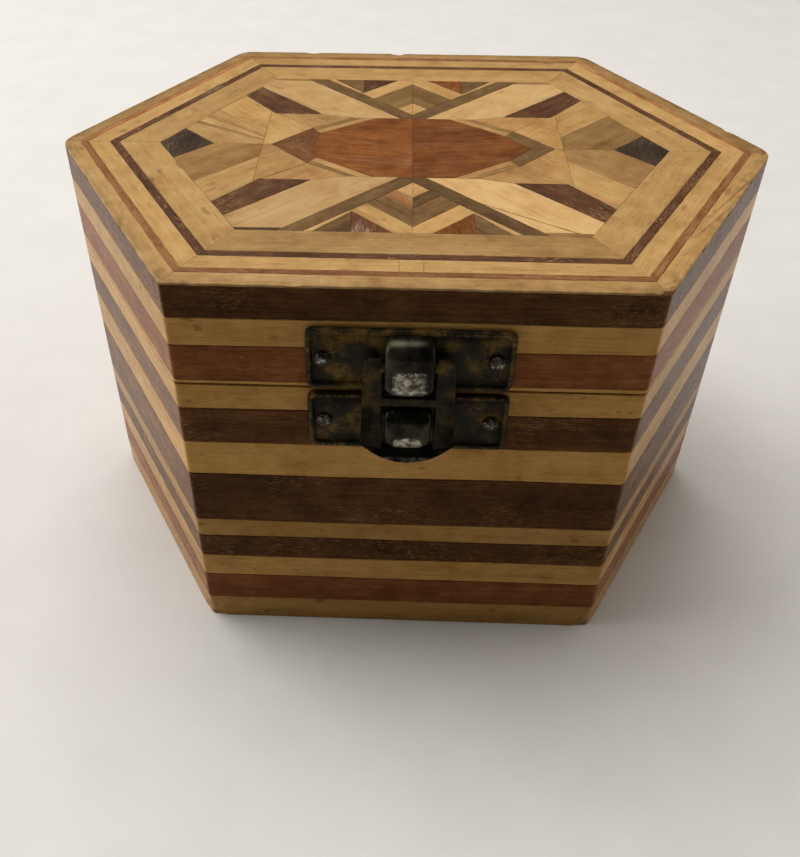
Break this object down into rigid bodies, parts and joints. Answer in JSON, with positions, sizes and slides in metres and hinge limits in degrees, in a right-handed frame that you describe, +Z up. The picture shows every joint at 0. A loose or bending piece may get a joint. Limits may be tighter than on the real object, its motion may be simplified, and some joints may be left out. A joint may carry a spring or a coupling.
{
  "type": "wooden organizer box",
  "caption": "Small hexagonal wooden box with striped mitred walls, a marquetry lid hinged at the back and a brass hasp that closes over a stud at the front.",
  "frame": {"origin": "middle of the flat underside", "axes": "+X along the front edge to the viewer's right, +Y from the hasp side to the hinge side, +Z up"},
  "size_m": [0.125, 0.0994, 0.0747],
  "materials": {
    "striped_wood": "varnished strips of pale and dark wood, worn satin",
    "plain_wood": "plain pale wood, unvarnished",
    "pale_veneer": "honey-coloured veneer under worn varnish",
    "red_veneer": "red-brown veneer under worn varnish",
    "dark_veneer": "dark brown veneer under worn varnish",
    "olive_veneer": "olive-brown and tan veneers under worn varnish",
    "black_veneer": "black-brown veneer under worn varnish",
    "aged_brass": "dark antiqued brass, bright where it is rubbed",
    "nail_steel": "dull steel"
  },
  "bodies": {
    "box": {"base_panel": "plain_wood", "box_wall_front": "striped_wood", "box_wall_front_right": "striped_wood", "box_wall_back_right": "striped_wood", "box_wall_back": "striped_wood", "box_wall_back_left": "striped_wood", "box_wall_front_left": "striped_wood", "clasp_plate_lower": "aged_brass", "clasp_nail_lower_1": "nail_steel", "clasp_nail_lower_2": "nail_steel", "hinge_left_box_leaf": "aged_brass", "hinge_left_pin": "nail_steel", "hinge_right_box_leaf": "aged_brass", "hinge_right_pin": "nail_steel", "hinge_nail_box_1": "nail_steel", "hinge_nail_box_2": "nail_steel", "hinge_nail_box_3": "nail_steel", "hinge_nail_box_4": "nail_steel"},
    "lid": {"lid_panel": "plain_wood", "lid_wall_front": "striped_wood", "lid_wall_front_right": "striped_wood", "lid_wall_back_right": "striped_wood", "lid_wall_back": "striped_wood", "lid_wall_back_left": "striped_wood", "lid_wall_front_left": "striped_wood", "border_outer_pale": "pale_veneer", "border_red_line": "red_veneer", "border_middle_pale": "pale_veneer", "border_dark_line": "dark_veneer", "border_inner_pale": "pale_veneer", "lozenge_heart": "red_veneer", "lozenge_tip_left": "dark_veneer", "lozenge_tip_right": "dark_veneer", "side_fan_left": "olive_veneer", "side_fan_right": "olive_veneer", "side_rhombus_left": "black_veneer", "side_rhombus_right": "black_veneer", "v_arms_front": "dark_veneer", "v_arms_back": "dark_veneer", "fan_front": "olive_veneer", "fan_back": "olive_veneer", "broad_tile_front_left": "pale_veneer", "broad_tile_front_right": "pale_veneer", "broad_tile_back_right": "pale_veneer", "broad_tile_back_left": "pale_veneer", "dark_bar_front_left": "dark_veneer", "dark_bar_front_right": "dark_veneer", "dark_bar_back_right": "dark_veneer", "dark_bar_back_left": "dark_veneer", "clasp_plate_upper": "aged_brass", "clasp_nail_upper_1": "nail_steel", "clasp_nail_upper_2": "nail_steel", "hinge_left_lid_leaf": "aged_brass", "hinge_right_lid_leaf": "aged_brass", "hinge_nail_lid_1": "nail_steel", "hinge_nail_lid_2": "nail_steel", "hinge_nail_lid_3": "nail_steel", "hinge_nail_lid_4": "nail_steel"},
    "hasp": {"hasp": "aged_brass"}
  },
  "joints": [
    {"name": "lid_hinge", "type": "hinge", "parent": "box", "child": "lid", "pos_m": [0, 0.0475, 0.05655], "axis": [-1, 0, 0], "range_deg": [0, 180]},
    {"name": "hasp_pivot", "type": "hinge", "parent": "lid", "child": "hasp", "pos_m": [0, -0.04835, 0.0625], "axis": [-1, 0, 0], "range_deg": [0, 180]}
  ]
}
